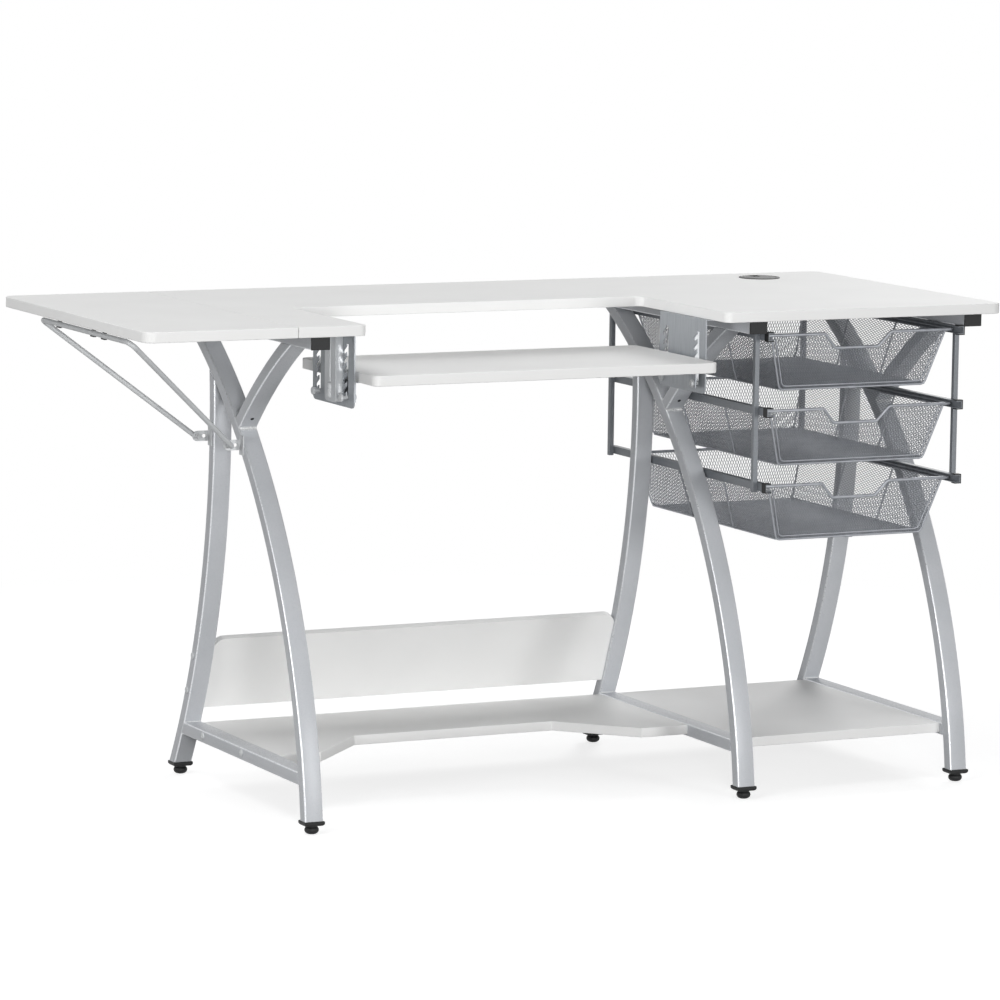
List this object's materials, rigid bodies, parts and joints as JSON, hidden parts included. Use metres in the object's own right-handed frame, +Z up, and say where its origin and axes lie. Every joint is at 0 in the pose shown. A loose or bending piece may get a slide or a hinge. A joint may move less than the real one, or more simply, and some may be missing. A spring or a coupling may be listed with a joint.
{
  "type": "sewing machine table",
  "caption": "Free-standing sewing machine table on arched tube frames, with a lowering machine platform, a propped folding side flap, sliding mesh baskets and low shelves.",
  "frame": {"origin": "on the floor under the centre of the bounding box", "axes": "+X along the table away from the flap, +Y to the rear (front edge at -Y), +Z up"},
  "size_m": [1.441, 0.597, 0.7635],
  "materials": {
    "white_laminate": "satin white laminate",
    "silver_tube": "satin silver-grey powder coat",
    "grey_post": "satin grey powder coat",
    "grey_mesh": "satin grey powder coat on expanded metal",
    "zinc_steel": "bright zinc plate",
    "bracket_steel": "satin grey",
    "black_plastic": "moulded matt",
    "black_steel": "black coat"
  },
  "bodies": {
    "flap": {"flap": "white_laminate", "flap_hinge_leaves": "zinc_steel", "bail_clips": "black_plastic"},
    "bail": {"bail": "zinc_steel"},
    "platform": {"platform_board": "white_laminate", "left_platform_hanger": "bracket_steel", "right_platform_hanger": "bracket_steel", "platform_studs": "zinc_steel"},
    "grommet_cap": {"grommet_cap": "black_plastic"},
    "upper_basket": {"upper_basket_tray": "grey_mesh", "upper_basket_rim": "grey_mesh"},
    "middle_basket": {"middle_basket_tray": "grey_mesh", "middle_basket_rim": "grey_mesh"},
    "lower_basket": {"lower_basket_tray": "grey_mesh", "lower_basket_rim": "grey_mesh"},
    "table": {"bottom_shelf": "white_laminate", "channel_bolts": "zinc_steel", "foot_caps": "black_plastic", "foot_glides": "black_plastic", "front_bail_bracket": "zinc_steel", "grommet_sleeve": "black_plastic", "hinge_pins": "zinc_steel", "left_bracket_channel": "bracket_steel", "left_front_leg": "silver_tube", "left_front_post": "grey_post", "left_lower_rail": "silver_tube", "left_rear_leg": "silver_tube", "left_rear_post": "grey_post", "left_slot_bracket": "bracket_steel", "left_top_rail": "silver_tube", "left_upper_arm": "silver_tube", "lower_left_runner": "black_steel", "lower_right_runner": "black_steel", "main_top": "white_laminate", "middle_front_leg": "silver_tube", "middle_left_runner": "black_steel", "middle_lower_rail": "silver_tube", "middle_rear_leg": "silver_tube", "middle_right_runner": "black_steel", "middle_top_rail": "silver_tube", "middle_upper_arm": "silver_tube", "modesty_panel": "white_laminate", "panel_screws": "zinc_steel", "rail_end_caps": "black_plastic", "rear_bail_bracket": "zinc_steel", "right_bracket_channel": "bracket_steel", "right_front_leg": "silver_tube", "right_front_post": "grey_post", "right_lower_rail": "silver_tube", "right_rear_leg": "silver_tube", "right_rear_post": "grey_post", "right_slot_bracket": "bracket_steel", "right_top_rail": "silver_tube", "right_upper_arm": "silver_tube", "runner_stops": "black_plastic", "side_shelf": "white_laminate", "table_hinge_leaves": "zinc_steel", "upper_left_runner": "black_steel", "upper_right_runner": "black_steel"}
  },
  "joints": [
    {"name": "flap_fold", "type": "hinge", "parent": "table", "child": "flap", "pos_m": [-0.4805, 0, 0.7416], "axis": [0, -1, 0], "range_deg": [0, 90]},
    {"name": "bail_swing", "type": "hinge", "parent": "table", "child": "bail", "pos_m": [-0.4747, 0, 0.556], "axis": [0, -1, 0], "range_deg": [0, 128.4]},
    {"name": "platform_lift", "type": "slide", "parent": "table", "child": "platform", "axis": [0, 0, 1], "range_m": [0, 0.076]},
    {"name": "upper_basket_slide", "type": "slide", "parent": "table", "child": "upper_basket", "axis": [0, -1, 0], "range_m": [0, 0.3]},
    {"name": "middle_basket_slide", "type": "slide", "parent": "table", "child": "middle_basket", "axis": [0, -1, 0], "range_m": [0, 0.3]},
    {"name": "lower_basket_slide", "type": "slide", "parent": "table", "child": "lower_basket", "axis": [0, -1, 0], "range_m": [0, 0.3]},
    {"name": "grommet_cap_turn", "type": "hinge", "parent": "table", "child": "grommet_cap", "pos_m": [0.5685, 0.2185, 0.762], "axis": [0, 0, 1], "continuous": true}
  ],
  "couplings": [
    {"joint": "bail_swing", "follows": "flap_fold", "ratio": 1.4247}
  ]
}
